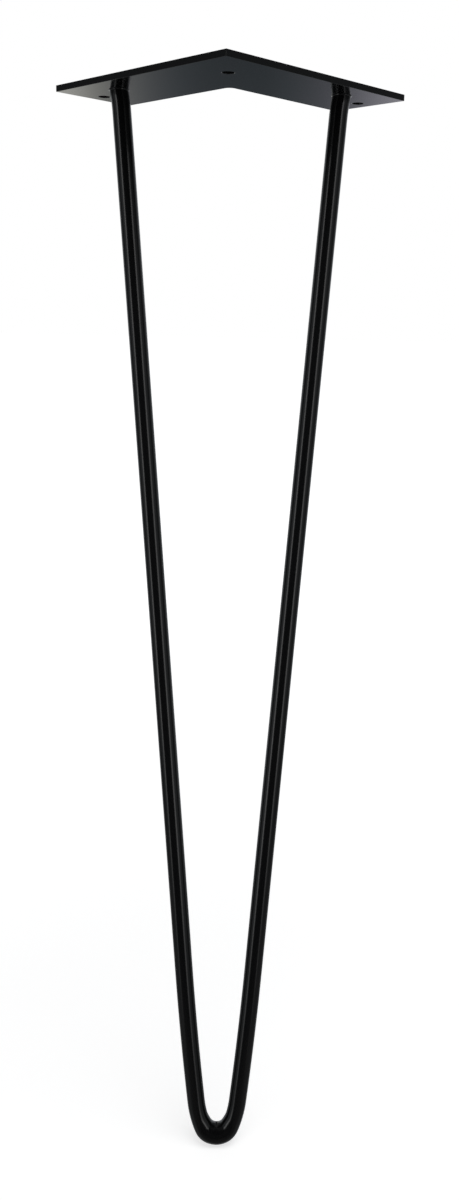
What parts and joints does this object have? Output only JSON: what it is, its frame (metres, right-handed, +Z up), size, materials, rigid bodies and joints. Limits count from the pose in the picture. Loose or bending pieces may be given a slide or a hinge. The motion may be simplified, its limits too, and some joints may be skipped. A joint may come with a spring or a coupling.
{
  "type": "hairpin table leg",
  "caption": "Black steel hairpin table leg: an L-shaped screw plate with a bent round bar welded under it.",
  "frame": {"origin": "centre of the corner screw hole on the plate's upper face, which lies against the table top", "axes": "+Z up into the table top along the leg's height, +Y from the plate's outer corner towards the middle of the table, +X across the hairpin"},
  "size_m": [0.2262, 0.1555, 0.71],
  "materials": {
    "black_paint": "semi-gloss black paint on steel"
  },
  "bodies": {
    "root": {"mounting_plate": "black_paint", "hairpin_rod": "black_paint", "weld_bead_left": "black_paint", "weld_bead_right": "black_paint"}
  },
  "joints": []
}
